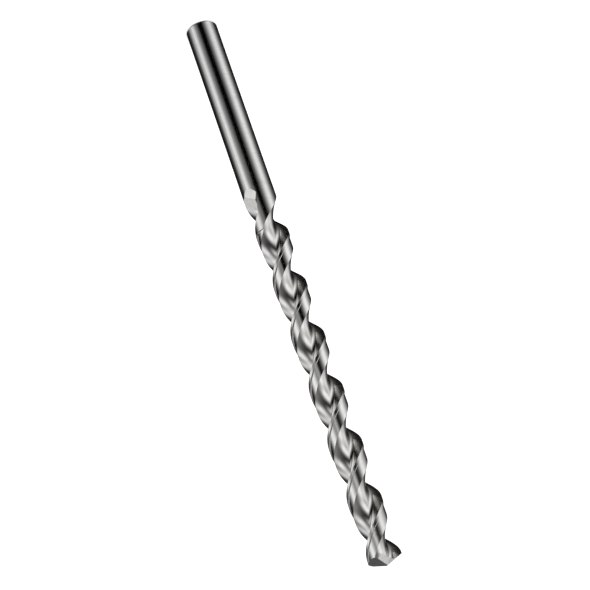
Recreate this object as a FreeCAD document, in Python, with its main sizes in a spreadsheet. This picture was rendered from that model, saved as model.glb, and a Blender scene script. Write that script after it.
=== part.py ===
import FreeCAD, Part
import math
import os
import Sketcher

from FreeCAD import Vector

# A long-series twist drill for metal, ground from one bar of high-speed steel: a plain cylindrical
# shank, two wide right-hand helical flutes in a thick web, lands relieved behind narrow margins,
# and a 130 degree split point.  Millimetres.  The Z axis is the drill's own axis, Z = 0 is the
# shank's end face, the point is at the top, and both cutting lips run along X.

doc = FreeCAD.newDocument("twist_drill_bit")

# ---------------------------------------------------------------------------------------------
# Driving sizes, millimetres and degrees
# ---------------------------------------------------------------------------------------------
SIZES = [
    ("drill_dia", "10", "cutting diameter over the margins at the point"),
    ("overall_length", "184", "shank end to chisel edge"),
    ("shank_chamfer", "0.6", "chamfer round the shank's end"),
    ("shank_length", "58", "shank end to where the bar grows to the cutting diameter"),
    ("shank_under", "0.02", "how much less than the cutting radius the shank's radius is"),
    ("neck_length", "2", "height over which the bar's radius grows by that"),
    ("flute_length", "116.6", "chisel edge back to the fluting wheel's last full-depth place"),
    ("lead", "35.2", "height of one full turn of a flute"),
    ("web_half", "1.42", "half the web's thickness, and how far the lips stand ahead of the axis"),
    ("lead_edge_angle", "27.9", "leading edge's angle on the bar's ellipse in the wheel's plane"),
    ("heel_angle", "45.1", "heel's angle on the same ellipse, on the flute's other side"),
    ("rake_wall_slope", "62", "slope of the wheel's rake side from the wheel's axis"),
    ("flute_root_radius", "1.57", "rounding at the wheel's rim"),
    ("wheel_radius", "33", "radius of the fluting wheel"),
    ("retract_down", "3", "run-out: how far the wheel moves towards the shank while it is drawn out"),
    ("retract_out", "2", "run-out: how far out of the bar it moves meanwhile"),
    ("retract_side", "1.75", "run-out: how far round the bar, square to both"),
    ("margin_angle", "13", "width of a margin, as an angle about the axis"),
    ("margin_height", "0.33", "step from a margin down to its relieved land"),
    ("relief_length", "109", "chisel edge back to where the lands' relief starts"),
    ("point_angle", "130", "angle between the two lips"),
    ("lip_relief", "12", "fall of a flank behind its lip, square to the lip"),
    ("chisel_half", "0.3", "half of the chisel edge that the two splits leave"),
    ("split_turn", "42", "split's cutting edge from the lip, seen along the axis"),
    ("split_fall", "55", "fall of the split's root below level"),
    ("overrun", "2", "how far a cutting tool runs out past the bar"),
]
sizes = doc.addObject("Spreadsheet::Sheet", "sizes")
for row, (alias, value, meaning) in enumerate(SIZES, start=1):
    sizes.set(f"A{row}", value)
    sizes.setAlias(f"A{row}", alias)
    sizes.set(f"B{row}", meaning)
doc.recompute()

# What follows from the sheet, written once as expressions that the features are bound to.
RADIUS = "sizes.drill_dia / 2"
SHANK_RADIUS = "sizes.drill_dia / 2 - sizes.shank_under"
HELIX_SLOPE = "(pi * sizes.drill_dia / sizes.lead)"
HELIX_ANGLE = f"atan({HELIX_SLOPE})"
LIP_TILT = "(90 - sizes.point_angle / 2)"
# fall of a flank for each millimetre along its lip, and for each millimetre behind it
LIP_FALL = f"tan({LIP_TILT})"
FLANK_FALL = f"(tan(sizes.lip_relief) / cos({LIP_TILT}))"
# the lips' outer corners: how far they are turned ahead of X, and how far they lie below the chisel
CORNER_TURN = f"(asin(sizes.web_half / ({RADIUS})) / (1 deg))"
CORNER_DROP = (f"(sqrt(({RADIUS})^2 - sizes.web_half^2) * {LIP_FALL}"
               f" - sizes.web_half * {FLANK_FALL})")
# turn about the axis from the flute's middle to each of its edges, at one height
LEAD_EDGE_TURN = (f"(sizes.lead_edge_angle"
                  f" + 180 / pi * {HELIX_SLOPE}^2 * sin(sizes.lead_edge_angle))")
HEEL_TURN = f"(sizes.heel_angle + 180 / pi * {HELIX_SLOPE}^2 * sin(sizes.heel_angle))"
LAND_TURN = f"(180 - {LEAD_EDGE_TURN} - {HEEL_TURN})"
# turn of the flute's middle where the wheel stops, so that the leading edge meets the lip's corner
FLUTE_TURN = (f"({CORNER_TURN} + {LEAD_EDGE_TURN}"
              f" - 360 * (sizes.flute_length - {CORNER_DROP}) / sizes.lead)")


def size(alias):
    """The plain number in a cell of the sheet."""
    return float(sizes.getContents(alias))


def evaluate(expression):
    """The number that an expression gives now, used only to draw a sketch near its solution."""
    value = sizes.evalExpression(expression)
    return float(getattr(value, "Value", value))


# ---------------------------------------------------------------------------------------------
# The drill: one body
# ---------------------------------------------------------------------------------------------
drill = doc.addObject("PartDesign::Body", "twist_drill")
drill.Label = "twist_drill"


def origin(role):
    """One of the body's own origin planes or axes."""
    return next(feature for feature in drill.Origin.OriginFeatures if feature.Role == role)


def new_sketch(name, plane, placement=None):
    """An empty sketch on an origin plane, moved and turned by a placement expression."""
    sketch = drill.newObject("Sketcher::SketchObject", name)
    sketch.AttachmentSupport = [(origin(plane), "")]
    sketch.MapMode = "FlatFace"
    if placement:
        sketch.setExpression("AttachmentOffset", placement)
    doc.recompute()
    return sketch


def segment(sketch, start, end, construction=False):
    """A straight line between two points of a sketch."""
    return sketch.addGeometry(Part.LineSegment(Vector(*start, 0), Vector(*end, 0)), construction)


def constrain(sketch, kind, *rest):
    """A geometric constraint of a sketch."""
    return sketch.addConstraint(Sketcher.Constraint(kind, *rest))


def dimension(sketch, name, kind, *rest, to):
    """A named dimension of a sketch, bound to an expression."""
    value = evaluate(to)
    if kind == "Angle":
        value = math.radians(value)
    index = constrain(sketch, kind, *rest, value)
    sketch.renameConstraint(index, name)
    sketch.setExpression(f"Constraints.{name}", to)


def turned_bar():
    """The bar before grinding, revolved: a shank with its chamfer, ground a little under size,
    and above a short cone the length that takes the flutes."""
    sketch = new_sketch("bar_profile", "XZ_Plane")
    radius, length, chamfer = size("drill_dia") / 2, size("overall_length"), size("shank_chamfer")
    shank_radius = evaluate(SHANK_RADIUS)
    corners = [(0, 0), (shank_radius - chamfer, 0), (shank_radius, chamfer),
               (shank_radius, size("shank_length")),
               (radius, size("shank_length") + size("neck_length")), (radius, length), (0, length)]
    sides = [segment(sketch, start, corners[(index + 1) % len(corners)])
             for index, start in enumerate(corners)]
    end_face, chamfer_side, shank, neck, body, top, axis = sides
    for first, second in zip(sides, sides[1:] + sides[:1]):
        constrain(sketch, "Coincident", first, 2, second, 1)
    constrain(sketch, "Coincident", end_face, 1, -1, 1)
    constrain(sketch, "Horizontal", end_face)
    constrain(sketch, "Vertical", shank)
    constrain(sketch, "Vertical", body)
    constrain(sketch, "Horizontal", top)
    constrain(sketch, "Vertical", axis)
    dimension(sketch, "radius", "DistanceX", top, 2, top, 1, to=RADIUS)
    dimension(sketch, "shank_radius", "DistanceX", -1, 1, shank, 1, to=SHANK_RADIUS)
    dimension(sketch, "shank_length", "DistanceY", -1, 1, shank, 2, to="sizes.shank_length")
    dimension(sketch, "neck_length", "DistanceY", neck, 1, neck, 2, to="sizes.neck_length")
    dimension(sketch, "length", "DistanceY", axis, 2, axis, 1, to="sizes.overall_length")
    dimension(sketch, "chamfer_across", "DistanceX", chamfer_side, 1, chamfer_side, 2,
              to="sizes.shank_chamfer")
    dimension(sketch, "chamfer_up", "DistanceY", chamfer_side, 1, chamfer_side, 2,
              to="sizes.shank_chamfer")
    bar = drill.newObject("PartDesign::Revolution", "bar")
    bar.Profile = sketch
    bar.ReferenceAxis = (sketch, ["V_Axis"])
    bar.Angle = 360
    doc.recompute()


def wheel_profile(name, move="vector(0; 0; 0)"):
    """The fluting wheel's dressed edge, drawn in the plane square to the flute where the wheel
    stops, or moved from there.  X runs out from the drill's axis, Y along the wheel's axis from
    the leading edge to the heel.  A steep straight side makes the rake face and a shallow one
    rolls up to the heel; the rounding between them touches the web.  In this plane the bar is an
    ellipse, and the two construction points on it are the leading edge and the heel."""
    placement = (f"placement(vector(0; 0; sizes.overall_length - sizes.flute_length);"
                 f" rotation(vector(0; 0; 1); {FLUTE_TURN}))"
                 f" * placement({move}; rotation(vector(1; 0; 0); -{HELIX_ANGLE}))")
    sketch = new_sketch(name, "XY_Plane", placement)

    edge_x = f"({RADIUS}) * cos(sizes.lead_edge_angle)"
    edge_y = f"({RADIUS}) * sin(sizes.lead_edge_angle) / cos({HELIX_ANGLE})"
    heel_x = f"({RADIUS}) * cos(sizes.heel_angle)"
    heel_y = f"({RADIUS}) * sin(sizes.heel_angle) / cos({HELIX_ANGLE})"
    outer_x = f"{RADIUS} + sizes.overrun"
    root_x = "sizes.web_half + sizes.flute_root_radius"
    rim_x = "sizes.web_half + sizes.wheel_radius"

    # where the solver will find everything
    rake = math.radians(size("rake_wall_slope"))
    rounding = size("flute_root_radius")
    edge = Vector(evaluate(edge_x), -evaluate(edge_y), 0)
    heel = Vector(evaluate(heel_x), evaluate(heel_y), 0)
    outer = evaluate(outer_x)
    rake_out = Vector(math.sin(rake), -math.cos(rake), 0)
    rake_in = Vector(math.cos(rake), math.sin(rake), 0)
    centre_x = evaluate(root_x)
    reach = (centre_x - edge.x - rounding * rake_in.x) / rake_out.x
    centre = edge + rake_out * reach + rake_in * rounding
    from_heel = centre - heel
    roll = -math.acos(rounding / from_heel.Length) - math.atan2(from_heel.y, from_heel.x)
    roll_out = Vector(math.sin(roll), math.cos(roll), 0)
    rake_top = edge + rake_out * ((outer - edge.x) / rake_out.x)
    heel_top = heel + roll_out * ((outer - heel.x) / roll_out.x)
    rake_foot = centre - rake_in * rounding
    heel_foot = centre - Vector(math.cos(roll), -math.sin(roll), 0) * rounding

    rake_side = segment(sketch, rake_top[:2], rake_foot[:2])
    circle = Part.Circle(centre, Vector(0, 0, 1), rounding)
    root = sketch.addGeometry(Part.ArcOfCircle(circle, math.pi - roll, math.pi + rake))
    heel_side = segment(sketch, heel_foot[:2], heel_top[:2])
    closing = segment(sketch, heel_top[:2], rake_top[:2])
    wheel_axis = segment(sketch, (evaluate(rim_x), -1), (evaluate(rim_x), 1), construction=True)
    edge_point = sketch.addGeometry(Part.Point(edge), True)
    heel_point = sketch.addGeometry(Part.Point(heel), True)

    constrain(sketch, "Tangent", rake_side, 2, root, 2)
    constrain(sketch, "Tangent", root, 1, heel_side, 1)
    constrain(sketch, "Coincident", heel_side, 2, closing, 1)
    constrain(sketch, "Coincident", closing, 2, rake_side, 1)
    constrain(sketch, "Vertical", closing)
    constrain(sketch, "Symmetric", wheel_axis, 1, wheel_axis, 2, -1)
    constrain(sketch, "PointOnObject", edge_point, 1, rake_side)
    constrain(sketch, "PointOnObject", heel_point, 1, heel_side)
    dimension(sketch, "edge_x", "DistanceX", -1, 1, edge_point, 1, to=edge_x)
    dimension(sketch, "edge_y", "DistanceY", edge_point, 1, -1, 1, to=edge_y)
    dimension(sketch, "heel_x", "DistanceX", -1, 1, heel_point, 1, to=heel_x)
    dimension(sketch, "heel_y", "DistanceY", -1, 1, heel_point, 1, to=heel_y)
    dimension(sketch, "root_radius", "Radius", root, to="sizes.flute_root_radius")
    dimension(sketch, "root_x", "DistanceX", -1, 1, root, 3, to=root_x)
    dimension(sketch, "outer_x", "DistanceX", -1, 1, closing, 2, to=outer_x)
    dimension(sketch, "rake_slope", "Angle", rake_side, to="90 + sizes.rake_wall_slope")
    dimension(sketch, "rim_x", "DistanceX", -1, 1, wheel_axis, 1, to=rim_x)
    dimension(sketch, "rim_y", "DistanceY", wheel_axis, 1, wheel_axis, 2, to="sizes.overrun")
    return sketch


def helical_cut(name, profile, height):
    """A right-hand helical cut that carries a profile up the bar and out past the point: as many
    whole turns as cover the height, because the sweep of a part turn can start off downwards."""
    cut = drill.newObject("PartDesign::SubtractiveHelix", name)
    cut.Profile = profile
    cut.ReferenceAxis = (origin("Z_Axis"), [""])
    cut.Mode = "pitch-turns-angle"
    cut.setExpression("Pitch", "sizes.lead")
    cut.setExpression("Turns", f"ceil(({height}) / sizes.lead)")
    doc.recompute()
    return cut


def flute():
    """One flute and its run-out.  The wheel's edge is swept up the helix.  Towards the shank the
    wheel is drawn out along a straight line that slants round the bar, and where it has come to
    the end of that line it leaves its own round in the bar."""
    stop = wheel_profile("wheel_at_stop")
    groove = helical_cut("flute", stop, "sizes.flute_length + sizes.drill_dia")
    drawn_out = wheel_profile(
        "wheel_drawn_out", "vector(sizes.retract_out; -sizes.retract_side; -sizes.retract_down)")
    ramp = drill.newObject("PartDesign::SubtractiveLoft", "flute_ramp")
    ramp.Profile = stop
    ramp.Sections = [drawn_out]
    ramp.Ruled = True
    doc.recompute()
    run_out = drill.newObject("PartDesign::Groove", "flute_run_out")
    run_out.Profile = drawn_out
    run_out.ReferenceAxis = (drawn_out, ["Axis0"])
    run_out.Reversed = True
    run_out.setExpression(
        "Angle", f"acos(1 - ({RADIUS} - sizes.web_half + sizes.overrun) / sizes.wheel_radius)")
    doc.recompute()
    return [groove, ramp, run_out]


def land_relief():
    """The relief of one land behind its margin: a thin ring sector, drawn across the axis and
    swept up the same helix from just above the run-out."""
    sector = f"({LAND_TURN} + sizes.margin_angle)"
    start = f"({CORNER_TURN} - 360 * (sizes.relief_length - {CORNER_DROP}) / sizes.lead)"
    placement = (f"placement(vector(0; 0; sizes.overall_length - sizes.relief_length);"
                 f" rotation(vector(0; 0; 1); {start} - {sector}))")
    sketch = new_sketch("relief_sector", "XY_Plane", placement)
    inner = evaluate(RADIUS) - size("margin_height")
    outer = evaluate(RADIUS) + size("overrun")
    span = evaluate(f"{sector} - sizes.margin_angle")
    far = Vector(math.cos(math.radians(span)), math.sin(math.radians(span)), 0)
    floor = sketch.addGeometry(Part.ArcOfCircle(
        Part.Circle(Vector(), Vector(0, 0, 1), inner), 0, math.radians(span)))
    crown = sketch.addGeometry(Part.ArcOfCircle(
        Part.Circle(Vector(), Vector(0, 0, 1), outer), 0, math.radians(span)))
    heel_end = segment(sketch, (inner, 0), (outer, 0))
    margin_end = segment(sketch, (far * inner)[:2], (far * outer)[:2])
    constrain(sketch, "Coincident", floor, 3, -1, 1)
    constrain(sketch, "Coincident", crown, 3, -1, 1)
    constrain(sketch, "Coincident", heel_end, 1, floor, 1)
    constrain(sketch, "Coincident", heel_end, 2, crown, 1)
    constrain(sketch, "Coincident", margin_end, 1, floor, 2)
    constrain(sketch, "Coincident", margin_end, 2, crown, 2)
    constrain(sketch, "Horizontal", heel_end)
    constrain(sketch, "PointOnObject", floor, 1, -1)
    constrain(sketch, "PointOnObject", -1, 1, margin_end)
    dimension(sketch, "floor_radius", "Radius", floor, to=f"{RADIUS} - sizes.margin_height")
    dimension(sketch, "crown_radius", "Radius", crown, to=f"{RADIUS} + sizes.overrun")
    dimension(sketch, "span", "Angle", margin_end, to=f"{sector} - sizes.margin_angle")
    return helical_cut("land_relief", sketch, "sizes.relief_length + sizes.overrun")


def flank():
    """One flank of the point: everything above the plane that holds the lip and falls away
    behind it.  The sketch is square to the lip, so that the pocket runs along the lip."""
    placement = (f"placement(vector(0; sizes.overall_length; 0);"
                 f" rotation(vector(1; 0; 0); {LIP_TILT}))")
    sketch = new_sketch("flank_profile", "YZ_Plane", placement)
    half = evaluate(f"{RADIUS} + sizes.overrun")
    fall = half * math.tan(math.radians(size("lip_relief")))
    corners = [(-half, -fall), (half, fall), (half, half), (-half, half)]
    sides = [segment(sketch, start, corners[(index + 1) % len(corners)])
             for index, start in enumerate(corners)]
    ground, ahead, top, behind = sides
    for first, second in zip(sides, sides[1:] + sides[:1]):
        constrain(sketch, "Coincident", first, 2, second, 1)
    constrain(sketch, "Vertical", ahead)
    constrain(sketch, "Horizontal", top)
    constrain(sketch, "Vertical", behind)
    constrain(sketch, "PointOnObject", -1, 1, ground)
    reach = f"{RADIUS} + sizes.overrun"
    dimension(sketch, "relief", "Angle", ground, to="sizes.lip_relief")
    dimension(sketch, "ahead", "DistanceX", -1, 1, ground, 2, to=reach)
    dimension(sketch, "behind", "DistanceX", ground, 1, -1, 1, to=reach)
    dimension(sketch, "top", "DistanceY", -1, 1, top, 1, to=reach)
    cut = drill.newObject("PartDesign::Pocket", "flank")
    cut.Profile = sketch
    cut.Midplane = True
    cut.setExpression("Length", "2 * sizes.drill_dia")
    doc.recompute()
    return cut


def split():
    """One split of the point: a square-edged notch that starts beside the axis, leaves a short
    cutting edge in line with the lip's inner end, and falls away into the flute."""
    ridge = f"atan({LIP_FALL} / {FLANK_FALL})"
    notch = drill.newObject("PartDesign::SubtractiveBox", "split")
    notch.AttachmentSupport = [(origin("XY_Plane"), "")]
    notch.MapMode = "FlatFace"
    back = "sizes.overrun * cos(sizes.split_fall)"
    notch.setExpression("AttachmentOffset", (
        f"placement(vector(sizes.chisel_half * cos({ridge}) - {back} * cos(sizes.split_turn);"
        f" sizes.chisel_half * sin({ridge}) - {back} * sin(sizes.split_turn);"
        f" sizes.overall_length + sizes.overrun * sin(sizes.split_fall));"
        f" rotation(vector(0; 0; 1); sizes.split_turn)"
        f" * rotation(vector(0; 1; 0); sizes.split_fall))"))
    for side in ("Length", "Width", "Height"):
        notch.setExpression(side, "sizes.drill_dia")
    doc.recompute()
    return notch


def both_sides(name, cuts):
    """Repeats cuts half a turn round the axis."""
    pattern = drill.newObject("PartDesign::PolarPattern", name)
    pattern.Originals = cuts
    pattern.Axis = (origin("Z_Axis"), [""])
    pattern.Angle = 360
    pattern.Occurrences = 2
    drill.Tip = pattern
    doc.recompute()
    return pattern


def build_drill():
    """Grinds one side of the bar, then repeats each cut half a turn round."""
    turned_bar()
    both_sides("flutes", flute())
    both_sides("land_reliefs", [land_relief()])
    both_sides("flanks", [flank()])
    both_sides("splits", [split()])


build_drill()

# ---------------------------------------------------------------------------------------------
# Checks, then one STEP file for each sub-part
# ---------------------------------------------------------------------------------------------
for item in doc.Objects:
    if {"Invalid", "Error"} & set(item.State):
        raise RuntimeError(f"{item.Name} failed: {item.State}")
if drill.Shape.isNull() or not drill.Shape.isValid():
    raise RuntimeError("the drill has no valid shape")
if len(drill.Shape.Solids) != 1:
    raise RuntimeError(f"the drill is {len(drill.Shape.Solids)} solids")

os.makedirs("parts", exist_ok=True)
drill.Shape.exportStep(f"parts/{drill.Label}.step")
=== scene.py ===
import math

import bmesh
import bpy
import numpy as np
from mathutils import Matrix


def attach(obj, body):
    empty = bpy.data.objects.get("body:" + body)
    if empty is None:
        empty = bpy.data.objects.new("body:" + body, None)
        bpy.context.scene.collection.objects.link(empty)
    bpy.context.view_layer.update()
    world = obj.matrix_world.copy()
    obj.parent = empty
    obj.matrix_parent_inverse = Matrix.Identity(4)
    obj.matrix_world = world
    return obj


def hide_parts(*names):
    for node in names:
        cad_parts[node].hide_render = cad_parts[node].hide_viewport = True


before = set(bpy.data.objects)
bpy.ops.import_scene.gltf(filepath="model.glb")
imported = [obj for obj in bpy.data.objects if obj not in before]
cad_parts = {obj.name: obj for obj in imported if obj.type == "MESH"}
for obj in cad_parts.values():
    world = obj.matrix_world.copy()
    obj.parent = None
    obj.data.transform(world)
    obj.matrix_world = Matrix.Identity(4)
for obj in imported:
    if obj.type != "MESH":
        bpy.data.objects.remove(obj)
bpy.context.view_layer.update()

# ------------------------------------------------------------------------------------------------
# The drill: one bar of hardened high-speed steel, ground all over.  A wheel cuts each flute along a
# helix and leaves a round hollow where it lifts out, the lands are relieved behind their margins,
# and two flat flanks and two split notches make the point.  Lengths are in millimetres.
# ------------------------------------------------------------------------------------------------
MM = 0.001
TURN = 2 * math.pi
DRILL_RADIUS = 5.0
LENGTH = 184.0
SHANK_LENGTH = 58.0
SHANK_UNDER = 0.02
NECK_LENGTH = 2.0
CHAMFER = 0.6

# the flutes: their lead, half the web between them, the place where the wheel stops, its radius, how
# it is drawn out there, how far round the edges lie, and the dressed edge's steep side and rounding
LEAD = 35.2
WEB_HALF = 1.42
WHEEL_STOP = LENGTH - 116.6
WHEEL_RADIUS = 33.0
RETRACT_DOWN, RETRACT_OUT, RETRACT_SIDE = 3.0, 2.0, 1.75
LEAD_EDGE = math.radians(27.9)
HEEL = math.radians(45.1)
RAKE_SLOPE = math.radians(62.0)
ROOT_RADIUS = 1.57

# the lands: how far round a margin and the step behind it reach, the step's height, and its start
MARGIN_TURN = math.radians(13.0)
STEP_TURN = math.radians(1.0)
MARGIN_HEIGHT = 0.33
RELIEF_START = LENGTH - 109.0

# the point: the angle between its lips, their relief, half the chisel edge, each split's upright
# wall, and the way and the steepness in which each split's floor falls
POINT_ANGLE = 130.0
LIP_RELIEF = math.radians(12.0)
CHISEL_HALF = 0.3
SPLIT_WALL = math.radians(22.0)
SPLIT_TURN = math.radians(62.0)
SPLIT_FALL = math.radians(57.0)

# the wheel's dressed edge: where the leading edge and the heel lie in the wheel's plane, and the
# straight sides and the rounding that join them
slope = TURN * DRILL_RADIUS / LEAD
wheel_turn = math.atan(slope)
across, along = math.cos(wheel_turn), math.sin(wheel_turn)
edge_u, edge_v = DRILL_RADIUS * math.cos(LEAD_EDGE), -DRILL_RADIUS * math.sin(LEAD_EDGE) / across
heel_u, heel_v = DRILL_RADIUS * math.cos(HEEL), DRILL_RADIUS * math.sin(HEEL) / across
root_u = WEB_HALF + ROOT_RADIUS
root_v = (edge_v + ROOT_RADIUS * math.sin(RAKE_SLOPE)
          - (root_u - edge_u - ROOT_RADIUS * math.cos(RAKE_SLOPE)) / math.tan(RAKE_SLOPE))
heel_slope = -(math.acos(ROOT_RADIUS / math.hypot(root_u - heel_u, root_v - heel_v))
               + math.atan2(root_v - heel_v, root_u - heel_u))
rake_foot = root_v - ROOT_RADIUS * math.sin(RAKE_SLOPE)
heel_foot = root_v + ROOT_RADIUS * math.sin(heel_slope)

# the flanks' fall along a lip and behind it, the turn of the flutes that brings the leading edges to
# the lips' outer corners, and the chisel edge's direction and end
flank_tilt = math.radians(90 - POINT_ANGLE / 2)
along_lip = math.tan(flank_tilt)
behind_lip = math.tan(LIP_RELIEF) / math.cos(flank_tilt)
corner_drop = math.sqrt(DRILL_RADIUS**2 - WEB_HALF**2) * along_lip - WEB_HALF * behind_lip
flute_turn = (math.asin(WEB_HALF / DRILL_RADIUS)
              + LEAD_EDGE + slope**2 * math.sin(LEAD_EDGE)
              - TURN * (LENGTH - WHEEL_STOP - corner_drop) / LEAD)
ridge = math.atan2(along_lip, behind_lip)
split_x, split_y = CHISEL_HALF * math.cos(ridge), CHISEL_HALF * math.sin(ridge)


def bar_radius(z):
    """The bar's radius: the shank's, then growing evenly over the neck to the cutting radius."""
    return DRILL_RADIUS - SHANK_UNDER * np.clip(1 - (z - SHANK_LENGTH) / NECK_LENGTH, 0, 1)


def wheel_edge(v):
    """Depth of the wheel's edge from the drill's axis at place v along the wheel's own axis: a
    steep line on the rake side, a shallow one on the heel side, and the circle that touches both."""
    rake_side = edge_u - math.tan(RAKE_SLOPE) * (v - edge_v)
    heel_side = heel_u + math.tan(heel_slope) * (v - heel_v)
    rounding = root_u - np.sqrt(np.maximum(ROOT_RADIUS**2 - (v - root_v)**2, 0))
    return np.where(v < rake_foot, rake_side, np.where(v > heel_foot, heel_side, rounding))


def flute_surface(v, z):
    """Radius and angle of the flute at wheel place v and height z.  Above the wheel's stop the edge
    turns with the lead.  Below it the edge first moves out along a straight slant, and at the end
    of that it leaves the wheel's own circle behind it in the bar."""
    rise = z - WHEEL_STOP + v * along
    drawn = np.clip(-rise, 0, RETRACT_DOWN) / RETRACT_DOWN
    behind = np.minimum(rise + RETRACT_DOWN, 0) / across
    rim = WEB_HALF + WHEEL_RADIUS
    u = rim - np.sqrt(np.maximum((rim - wheel_edge(v))**2 - behind**2, 0)) + RETRACT_OUT * drawn
    w = v * across + behind * along - RETRACT_SIDE * drawn
    return np.hypot(u, w), np.arctan2(w, u) + flute_turn + TURN * np.maximum(rise, 0) / LEAD


def halve(inside, start, end, times=45):
    """The place between start and end where inside turns false, found by halving."""
    for _ in range(times):
        middle = (start + end) / 2
        hit = inside(middle)
        start, end = np.where(hit, middle, start), np.where(hit, end, middle)
    return (start + end) / 2


# the wheel places between which both of a flute's edges lie
LEAD_SIDE, HEEL_SIDE = -5.0, 9.0


def flute_edges(z, lead_radius, heel_radius):
    """The wheel places where the flute leaves the bar at each height: from its deepest place out to
    one radius on the leading side, and out to the other on the heel's."""
    places = np.linspace(LEAD_SIDE, HEEL_SIDE, 1401)
    deepest = places[np.argmin(flute_surface(places[:, None], z)[0], axis=0)]
    return (halve(lambda v: flute_surface(v, z)[0] < lead_radius, deepest, np.full_like(z, LEAD_SIDE)),
            halve(lambda v: flute_surface(v, z)[0] < heel_radius, deepest, np.full_like(z, HEEL_SIDE)))


def past_wall(x, y, side):
    """How far a place lies past one split's upright wall, on the side that the split opens."""
    return (side * y - split_y) * math.cos(SPLIT_WALL) - (side * x - split_x) * math.sin(SPLIT_WALL)


def point_height(x, y):
    """Height of the ground point over a place: the lower of two flank planes, each falling along
    its lip and behind it, and under each split's floor where the place lies past its wall."""
    fall = y * behind_lip - x * along_lip
    z = LENGTH + np.minimum(fall, -fall)
    for side in (1, -1):
        out = (side * x - split_x) * math.cos(SPLIT_TURN) + (side * y - split_y) * math.sin(SPLIT_TURN)
        floor_z = LENGTH - out * math.tan(SPLIT_FALL)
        z = np.where(past_wall(x, y, side) > 0, np.minimum(z, floor_z), z)
    return z


def place(radius, angle, z):
    """Points from cylindrical coordinates."""
    radius, angle, z = np.broadcast_arrays(radius, angle, z)
    return np.stack([radius * np.cos(angle), radius * np.sin(angle), z], axis=-1)


# how finely the drill is divided: round half a ring, and up the bar
FLUTE_STEPS, LAND_STEPS, MARGIN_STEPS = 100, 24, 6
SHANK_ROWS, HOLLOW_ROWS, HELIX_ROWS, TIP_ROWS, CAP_ROWS = 30, 90, 150, 31, 41
POINT_START = LENGTH - 8
RELIEF_GAP = 0.03

# heights of the rows: close where the hollow begins, a pair at the relief's start, then even
scoop_places = np.linspace(0, HEEL_SIDE, 901)
scoop_start = float(halve(
    lambda z: np.min(flute_surface(scoop_places, z)[0]) > bar_radius(z), WHEEL_STOP - 30, WHEEL_STOP))
hollow_end = RELIEF_START - 10 * RELIEF_GAP
rows = np.concatenate([
    scoop_start + (hollow_end - scoop_start) * np.linspace(0, 1, HOLLOW_ROWS)**2,
    [RELIEF_START - RELIEF_GAP, RELIEF_START + RELIEF_GAP],
    np.linspace(RELIEF_START, POINT_START, HELIX_ROWS)[1:]])
bar = bar_radius(rows)
relieved = bar - np.where(rows > RELIEF_START, MARGIN_HEIGHT, 0)

# half a ring: the flute from leading edge to heel, its places closer toward the leading edge, then
# the land from the heel to the step, and the margin up to the next leading edge
lead_place, heel_place = flute_edges(rows, bar, relieved)
share = np.linspace(0, 1, FLUTE_STEPS + 1)**1.3
flute_places = lead_place[:, None] + (heel_place - lead_place)[:, None] * share
flute_r, flute_a = flute_surface(flute_places, rows[:, None])
heel_a = flute_a[:, -1]
lead_a = flute_a[:, 0] + math.pi
margin_a = lead_a - MARGIN_TURN
land_a = heel_a[:, None] + (margin_a - STEP_TURN - heel_a)[:, None] * np.linspace(0, 1, LAND_STEPS + 1)
top_a = margin_a[:, None] + (lead_a - margin_a)[:, None] * np.linspace(0, 1, MARGIN_STEPS + 1)
ring_r = np.hstack([flute_r, np.repeat(relieved[:, None], LAND_STEPS, 1),
                    np.repeat(bar[:, None], MARGIN_STEPS + 1, 1)])
ring_a = np.hstack([flute_a, land_a[:, 1:], top_a])
body = place(ring_r, ring_a, rows[:, None])


def column(z):
    """Points of the last ring's columns, each run on up its helix to a height of its own."""
    return place(ring_r[-1], ring_a[-1] + TURN * (z - POINT_START) / LEAD, z)


def below_point(z):
    """Whether each column at its height is still under the ground point."""
    x, y, z = np.moveaxis(column(z), -1, 0)
    return z < point_height(x, y)


# the point: the columns run up to the ground surfaces, which then close in to the axis
heights = np.linspace(POINT_START, LENGTH + 1, 1000)[:, None]
first_out = np.argmin(below_point(heights), axis=0)
column_top = halve(below_point, heights[first_out - 1, 0], heights[first_out, 0])
tip = column(POINT_START + (column_top - POINT_START) * np.linspace(0, 1, TIP_ROWS)[:, None])
inward = np.linspace(1, 0, CAP_ROWS)[:, None]
cap = np.stack([tip[-1, :, 0] * inward, tip[-1, :, 1] * inward, 0 * inward + column_top], -1)
cap[1:, :, 2] = point_height(cap[1:, :, 0], cap[1:, :, 1])

# the shank: rings of the first row's land angles, from the middle of the end face upwards
shank_z = np.concatenate([[0, 0, CHAMFER], np.linspace(CHAMFER, scoop_start, SHANK_ROWS)[1:]])
shank_r = bar_radius(shank_z)
shank_r[:2] = 0, shank_r[2] - CHAMFER
shank_a = np.concatenate([land_a[0], top_a[0]])
shank = place(shank_r[:, None], shank_a, shank_z[:, None])
shank[-1] = body[0, FLUTE_STEPS:]

# the five finishes, in the order of their materials
BAR, LAND, FLUTE, POINT, SPLIT = range(5)
patches, corners, corner_uvs, finishes = [], [], [], []


def add_patch(points, along_lines, across_lines, finish):
    """Turns a grid of points into squares, once as it is and once half a turn round.  The two
    fields give each point's place along the grinding lines and across them, in millimetres.  The
    point's fields are its own x and y, so they change sign with the half turn."""
    height, width = points.shape[:2]
    index = np.arange(height * width).reshape(height, width)
    squares = np.stack([index[:-1, :-1], index[:-1, 1:], index[1:, 1:], index[1:, :-1]], -1).reshape(-1, 4)
    uv = np.stack(np.broadcast_arrays(along_lines, across_lines), -1).reshape(-1, 2)
    for side in (1, -1):
        start = sum(len(patch) for patch in patches)
        patches.append(points.reshape(-1, 3) * (side, side, 1))
        corners.append(squares + start)
        corner_uvs.append(uv[squares] * (side if finish == POINT else 1))
        finishes.append(np.full(len(squares), finish))


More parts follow.
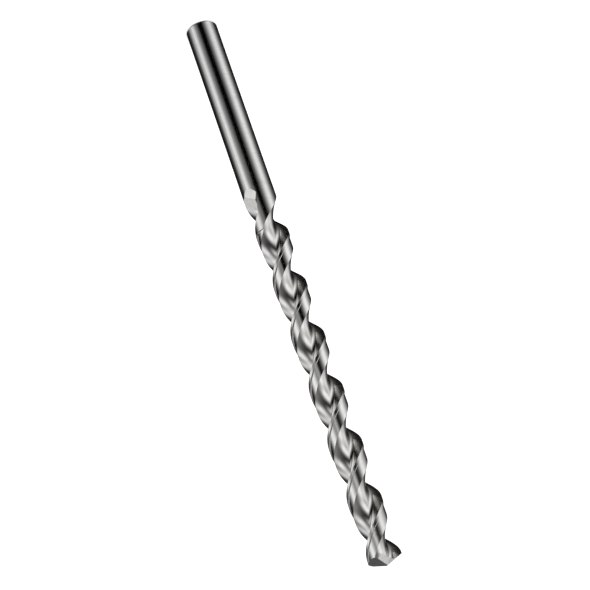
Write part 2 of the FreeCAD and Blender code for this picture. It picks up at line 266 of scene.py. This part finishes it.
# the grinding lines follow the helix in the flutes and on the lands, and run round the bar elsewhere
step = FLUTE_STEPS + LAND_STEPS
relief_row = int(np.argmax(rows > RELIEF_START))
low, high = slice(0, relief_row + 1), slice(relief_row, None)
up_helix = rows[:, None] / across
round_bar = ring_a * DRILL_RADIUS
add_patch(shank, shank_a * DRILL_RADIUS, shank_z[:, None], BAR)
add_patch(body[:, :FLUTE_STEPS + 1], up_helix, flute_places, FLUTE)
add_patch(body[low, FLUTE_STEPS:], round_bar[low, FLUTE_STEPS:], rows[low, None], BAR)
add_patch(body[high, FLUTE_STEPS:step + 1], up_helix[high],
          round_bar[high, FLUTE_STEPS:step + 1] - slope * rows[high, None], LAND)
add_patch(body[high, step:], round_bar[high, step:], rows[high, None], BAR)
tip_z = tip[..., 2]
add_patch(tip[:, :FLUTE_STEPS + 1], tip_z[:, :FLUTE_STEPS + 1] / across, flute_places[-1], FLUTE)
add_patch(tip[:, FLUTE_STEPS:step + 1], tip_z[:, FLUTE_STEPS:step + 1] / across,
          round_bar[-1, FLUTE_STEPS:step + 1] - slope * POINT_START, LAND)
add_patch(tip[:, step:], round_bar[-1, step:] + slope * (tip_z[:, step:] - POINT_START),
          tip_z[:, step:], BAR)
add_patch(cap, cap[..., 0], cap[..., 1], POINT)

mesh = bpy.data.meshes.new("twist_drill_ground")
mesh.from_pydata(np.concatenate(patches) * MM, [], np.concatenate(corners).tolist())
mesh.uv_layers.new(name="grinding").uv.foreach_set("vector", np.concatenate(corner_uvs).ravel())
mesh.polygons.foreach_set("material_index", np.concatenate(finishes))
welded = bmesh.new()
welded.from_mesh(mesh)
bmesh.ops.remove_doubles(welded, verts=welded.verts, dist=2e-7)


def crease(x, y, turn):
    """Cuts the top of the drill along an upright plane through a place, so that an edge of the
    ground point can follow the cut."""
    near = [face for face in welded.faces if face.calc_center_median().z > (POINT_START + 2) * MM]
    edges = {edge for face in near for edge in face.edges}
    near_corners = {corner for face in near for corner in face.verts}
    bmesh.ops.bisect_plane(welded, geom=[*near, *edges, *near_corners], dist=1e-9,
                           plane_co=(x * MM, y * MM, 0), plane_no=(-math.sin(turn), math.cos(turn), 0))


# creases along the chisel edge; along each split's wall, twice, a hair to either side of it; and
# where each split's floor meets the two flanks, which is where meet_x * x + meet_y * y = meet
HAIR = 0.001
crease(0, 0, ridge)
for side in (1, -1):
    for hair in (-HAIR, HAIR):
        crease(side * (split_x - hair * math.sin(SPLIT_WALL)),
               side * (split_y + hair * math.cos(SPLIT_WALL)), SPLIT_WALL)
    steep = math.tan(SPLIT_FALL)
    meet = steep * (split_x * math.cos(SPLIT_TURN) + split_y * math.sin(SPLIT_TURN))
    for flank in (1, -1):
        meet_x = steep * math.cos(SPLIT_TURN) + flank * along_lip
        meet_y = steep * math.sin(SPLIT_TURN) - flank * behind_lip
        nearest = side * meet / (meet_x**2 + meet_y**2)
        crease(meet_x * nearest, meet_y * nearest, math.atan2(-meet_x, meet_y))
welded.to_mesh(mesh)
welded.free()


def read(items, name, kind, width=1):
    """One value of every item of the mesh, as an array."""
    values = np.zeros(len(items) * width, kind)
    items.foreach_get(name, values)
    return values if width == 1 else values.reshape(-1, width)


# the point's corners, old and new, go on to the ground surfaces.  Where a flute breaks out through a
# split's wall, its edge runs down the wall and stays as it is.
face_sides = read(mesh.polygons, "loop_total", np.int32)
finish = read(mesh.polygons, "material_index", np.int32)
loop_corner = read(mesh.loops, "vertex_index", np.int32)
loop_finish = np.repeat(finish, face_sides)
co = read(mesh.vertices, "co", np.float32, 3).astype(float)
x, y = co[:, 0] / MM, co[:, 1] / MM
on_point, on_other = np.zeros(len(co), bool), np.zeros(len(co), bool)
on_point[loop_corner[loop_finish == POINT]] = True
on_other[loop_corner[loop_finish != POINT]] = True
from_wall = np.minimum(abs(past_wall(x, y, 1)), abs(past_wall(x, y, -1)))
lifted = on_point & ~(on_other & (from_wall < 0.8 * HAIR))
co[lifted, 2] = point_height(x[lifted], y[lifted]) * MM
mesh.vertices.foreach_set("co", co.ravel())

# what lies under the two flanks' planes belongs to a split
first_loop = np.cumsum(face_sides) - face_sides
centre = np.add.reduceat(co[loop_corner], first_loop) / face_sides[:, None] / MM
under_flanks = centre[:, 2] < LENGTH - abs(centre[:, 1] * behind_lip - centre[:, 0] * along_lip) - HAIR
finish[(finish == POINT) & under_flanks] = SPLIT
mesh.polygons.foreach_set("material_index", finish)

# smooth, with a crease wherever two finishes meet or the surface turns sharply
mesh.polygons.foreach_set("use_smooth", np.ones(len(finish), bool))
mesh.update()
mesh.set_sharp_from_angle(angle=math.radians(28))
loop_edge = read(mesh.loops, "edge_index", np.int32)
loop_finish = np.repeat(finish, face_sides)
least, most = np.full(len(mesh.edges), SPLIT), np.full(len(mesh.edges), BAR)
np.minimum.at(least, loop_edge, loop_finish)
np.maximum.at(most, loop_edge, loop_finish)
sharp = read(mesh.attributes["sharp_edge"].data, "value", bool)
mesh.attributes["sharp_edge"].data.foreach_set("value", sharp | (least != most))
drill = bpy.data.objects.new("twist_drill_ground", mesh)
bpy.context.collection.objects.link(drill)
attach(drill, "root")
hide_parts("twist_drill")

# the sockets, by number, of a Mix node that mixes colours
COLOUR_A, COLOUR_B, MIXED = 6, 7, 2


class Socket:
    """A shader socket that adds, multiplies and so on by making Math nodes."""

    def __init__(self, shader, link):
        self.shader, self.link = shader, link

    def math(self, operation, *others):
        return self.shader.node("ShaderNodeMath", {"operation": operation}, dict(enumerate((self, *others))))

    def __add__(self, other):
        return self.math("ADD", other)

    def __mul__(self, other):
        return self.math("MULTIPLY", other)

    def __rsub__(self, other):
        return self.shader.node("ShaderNodeMath", {"operation": "SUBTRACT"}, {0: other, 1: self})

    __radd__, __rmul__ = __add__, __mul__


class Shader:
    """The node tree of a material or of the world, built by one method."""

    def __init__(self, owner, surface):
        owner.use_nodes = True
        self.owner, self.tree = owner, owner.node_tree
        self.surface = self.tree.nodes[surface]

    def node(self, kind, settings, inputs, output=0):
        """Adds a node, makes its settings, then sets or links its sockets, and gives one output."""
        node = self.tree.nodes.new(kind)
        for name, value in settings.items():
            setattr(node, name, value)
        self.fill(node, inputs)
        return Socket(self, node.outputs[output])

    def fill(self, node, inputs):
        """Links each socket that is given a socket, and sets the rest."""
        for name, value in inputs.items():
            if isinstance(value, Socket):
                self.tree.links.new(value.link, node.inputs[name])
            else:
                node.inputs[name].default_value = value


def ground_steel(name, colour, roughness, line_scale, line_depth, mottle, dull_below=None):
    """Bright ground steel.  Fine lines run along the map's first direction: two stretched noises,
    one fine and one coarse, vary the colour, the roughness and a shallow bump.  Below a place
    across the map the steel is given a darker colour and a higher roughness."""
    shader = Shader(bpy.data.materials.new(name), "Principled BSDF")
    grinding = shader.node("ShaderNodeUVMap", {"uv_map": "grinding"}, {})

    def lines(scale, stretch, detail):
        flat = shader.node("ShaderNodeMapping", {},
                           {"Vector": grinding, "Scale": (scale * stretch, scale, 1)})
        return shader.node("ShaderNodeTexNoise", {"noise_dimensions": "2D"},
                           {"Vector": flat, "Scale": 1.0, "Detail": detail, "Roughness": 0.6})

    fine = lines(line_scale, 0.03, 3.0)
    coarse = lines(line_scale * 0.25, 0.05, 2.0)
    cloud = shader.node("ShaderNodeTexNoise", {"noise_dimensions": "3D"},
                        {"Vector": shader.node("ShaderNodeTexCoord", {}, {}, "Object"), "Scale": 900.0,
                         "Detail": 2.0})
    mixed = fine * 0.6 + coarse * 0.4
    tone = shader.node("ShaderNodeMapRange", {}, {"Value": mixed * (1 - mottle) + cloud * mottle,
                                                  "From Min": 0.35, "From Max": 0.65})
    darker = [part * 0.82 for part in colour]
    shade = shader.node("ShaderNodeMix", {"data_type": "RGBA"},
                        {"Factor": tone, COLOUR_A: (*darker, 1), COLOUR_B: (*colour, 1)}, MIXED)
    bump = shader.node("ShaderNodeBump", {}, {"Height": mixed, "Strength": line_depth,
                                              "Distance": 0.00004})
    rough = (1 - tone) * 0.06 + roughness
    if dull_below is not None:
        across_map = shader.node("ShaderNodeSeparateXYZ", {}, {"Vector": grinding}, "Y")
        dull = shader.node("ShaderNodeMapRange", {"interpolation_type": "SMOOTHSTEP"},
                           {"Value": across_map, "From Min": dull_below + 0.4, "From Max": dull_below - 0.4})
        rough = dull * 0.12 + rough
        shade = shader.node("ShaderNodeMix", {"data_type": "RGBA", "blend_type": "MULTIPLY"},
                            {"Factor": dull, COLOUR_A: shade, COLOUR_B: (0.55, 0.53, 0.51, 1)}, MIXED)
    shader.fill(shader.surface, {"Base Color": shade, "Metallic": 1.0, "Roughness": rough, "Normal": bump})
    return shader.owner


for material in (
        ground_steel("ground_bar", (0.82, 0.815, 0.80), roughness=0.10, line_scale=14.0,
                     line_depth=0.15, mottle=0.1),
        ground_steel("ground_land", (0.88, 0.875, 0.86), roughness=0.08, line_scale=9.0,
                     line_depth=0.2, mottle=0.15),
        ground_steel("ground_flute", (0.90, 0.89, 0.87), roughness=0.08, line_scale=7.0,
                     line_depth=0.3, mottle=0.35, dull_below=rake_foot),
        ground_steel("ground_point", (0.55, 0.545, 0.54), roughness=0.22, line_scale=12.0,
                     line_depth=0.5, mottle=0.4),
        ground_steel("ground_split", (0.90, 0.89, 0.87), roughness=0.12, line_scale=16.0,
                     line_depth=0.3, mottle=0.2)):
    mesh.materials.append(material)

# ------------------------------------------------------------------------------------------------
# The studio: a white floor and a white surround, one wide soft lamp, and a black cloth tent that
# only reflections see.  Soft round windows in it give the steel its bands.  Lengths are in metres.
# ------------------------------------------------------------------------------------------------
FLOOR_HALF = 4.0
WHITE, BLACK = (1, 1, 1, 1), (0, 0, 0, 1)


def stage_object(name, points, faces):
    """A mesh that belongs to the studio."""
    stage_mesh = bpy.data.meshes.new(name)
    stage_mesh.from_pydata(points, [], faces)
    thing = bpy.data.objects.new(name, stage_mesh)
    bpy.context.collection.objects.link(thing)
    return thing


def seen_directly(shader):
    """1 for camera, glossy and transmission rays, and 0 for the rays that light the floor."""
    path = [shader.node("ShaderNodeLightPath", {}, {}, name)
            for name in ("Is Camera Ray", "Is Glossy Ray", "Is Transmission Ray")]
    return path[0].math("MAXIMUM", path[1].math("MAXIMUM", path[2]))


floor = stage_object("floor", [(-FLOOR_HALF, -FLOOR_HALF, 0), (FLOOR_HALF, -FLOOR_HALF, 0),
                               (FLOOR_HALF, FLOOR_HALF, 0), (-FLOOR_HALF, FLOOR_HALF, 0)], [(0, 1, 2, 3)])
paint = Shader(bpy.data.materials.new("floor_paint"), "Principled BSDF")
glow = paint.node("ShaderNodeMix", {"data_type": "RGBA"},
                  {"Factor": seen_directly(paint), COLOUR_A: BLACK, COLOUR_B: WHITE}, MIXED)
paint.fill(paint.surface, {"Base Color": (0.8, 0.8, 0.8, 1), "Roughness": 1.0, "Specular IOR Level": 0.0,
                           "Emission Color": glow, "Emission Strength": 0.5})
floor.data.materials.append(paint.owner)
floor.visible_glossy = False

# the tent is a globe of black cloth, woven thin where a window is.  A window is given by its azimuth
# from the front, its height above level and the angle from its middle at which it is half as bright,
# all in degrees, and by how much light it lets in; a negative one is a patch that takes light away.
FRONT = 101.3
WINDOWS = [(-68, -22, 21, 1.02), (65, -22, 21, 1.00), (-50, 13, 15, 1.15), (-105, 8, 18, 0.80),
           (52, 27, 15, 1.00), (14, -6, 12, 0.75), (75, 2, 13, 0.50), (100, 16, 15, 0.70),
           (0, 62, 22, 0.35), (180, 6, 15, 1.00), (-45, -55, 16, 0.12), (150, 39, 15, 0.18),
           (-82, 31, 12, 1.00), (1, -26, 9, -0.20)]
TENT_RADIUS, THIN_ALL_OVER = 2.0, 0.01
TENT_ROWS, TENT_COLUMNS = 46, 72
up = np.radians(np.linspace(-89.9, 89.9, TENT_ROWS))
round_tent = np.linspace(0, TURN, TENT_COLUMNS + 1)[:-1]
tent_points = place(TENT_RADIUS * np.cos(up)[:, None], round_tent, TENT_RADIUS * np.sin(up)[:, None])
index = np.arange(TENT_ROWS * TENT_COLUMNS).reshape(TENT_ROWS, TENT_COLUMNS)
after = np.roll(index, -1, axis=1)
tent_faces = np.stack([index[:-1], after[:-1], after[1:], index[1:]], -1).reshape(-1, 4)
tent = stage_object("tent", tent_points.reshape(-1, 3).tolist(), tent_faces.tolist())
tent.visible_camera = tent.visible_diffuse = tent.visible_transmission = tent.visible_shadow = False
cloth = Shader(bpy.data.materials.new("black_cloth"), "Principled BSDF")
spot = cloth.node("ShaderNodeTexCoord", {}, {}, "Object")
thin = THIN_ALL_OVER
for azimuth, height, half_width, strength in WINDOWS:
    turn, tilt = math.radians(FRONT + azimuth), math.radians(height)
    middle = (math.cos(turn) * math.cos(tilt), math.sin(turn) * math.cos(tilt), math.sin(tilt))
    towards = cloth.node("ShaderNodeVectorMath", {"operation": "DOT_PRODUCT"},
                         {0: spot, 1: [part / TENT_RADIUS for part in middle]}, "Value")
    sharpness = math.log(0.5) / math.log(math.cos(math.radians(half_width)))
    thin = towards.math("MAXIMUM", 0.0).math("POWER", sharpness) * strength + thin
thick = (1 - thin).math("MAXIMUM", 0.0).math("MINIMUM", 1.0)
black = cloth.node("ShaderNodeEmission", {}, {"Color": BLACK})
clear = cloth.node("ShaderNodeBsdfTransparent", {}, {})
cloth.fill(cloth.tree.nodes["Material Output"],
           {"Surface": cloth.node("ShaderNodeMixShader", {}, {0: thick, 1: clear, 2: black})})
tent.data.materials.append(cloth.owner)

# the lamp hangs high and a little to one side, and faces the drill's foot
LAMP_X, LAMP_Y, LAMP_Z = 0.3, 0.6, 2.5
lamp = bpy.data.objects.new("lamp", bpy.data.lights.new("lamp", "AREA"))
lamp.data.shape, lamp.data.size, lamp.data.energy = "DISK", 3.0, 60.0
lamp.location = (LAMP_X, LAMP_Y, LAMP_Z)
lamp.rotation_euler = (-math.atan2(LAMP_Y, LAMP_Z), math.atan2(LAMP_X, LAMP_Z), 0)
lamp.visible_glossy = False
bpy.context.collection.objects.link(lamp)

# the camera: its yaw, pitch and spin before the drill, and where the drill's foot lies from it,
# across, down and away, in millimetres
LENS_RATIO, SENSOR_WIDTH = 3.4472, 36
YAW, PITCH, SPIN = 0.33425, 0.40751, -0.1978
foot_from_camera = np.array([-29.5928, -83.9025, 641.690]) * MM
away = np.array([math.sin(YAW) * math.cos(PITCH), math.cos(YAW) * math.cos(PITCH), -math.sin(PITCH)])
level = np.array([math.cos(YAW), -math.sin(YAW), 0])
rightward = level * math.cos(SPIN) + np.cross(away, level) * math.sin(SPIN)
to_view = np.stack([rightward, np.cross(away, rightward), away], axis=1)
camera = bpy.data.objects.new("camera", bpy.data.cameras.new("camera"))
bpy.context.collection.objects.link(camera)
camera.data.sensor_width = SENSOR_WIDTH
camera.data.lens = SENSOR_WIDTH * LENS_RATIO
camera.data.clip_start = 0.01
pose = np.eye(4)
pose[:3, :3] = to_view.T @ np.diag([1, -1, -1])
pose[:3, 3] = -to_view.T @ foot_from_camera
camera.matrix_world = Matrix(pose.tolist())
bpy.context.scene.camera = camera
bpy.context.scene.view_settings.view_transform = "Standard"

bpy.context.scene.world = bpy.data.worlds.new("studio")
surround = Shader(bpy.context.scene.world, "Background")
surround.fill(surround.surface, {"Color": WHITE, "Strength": seen_directly(surround) * 0.5 + 0.5})
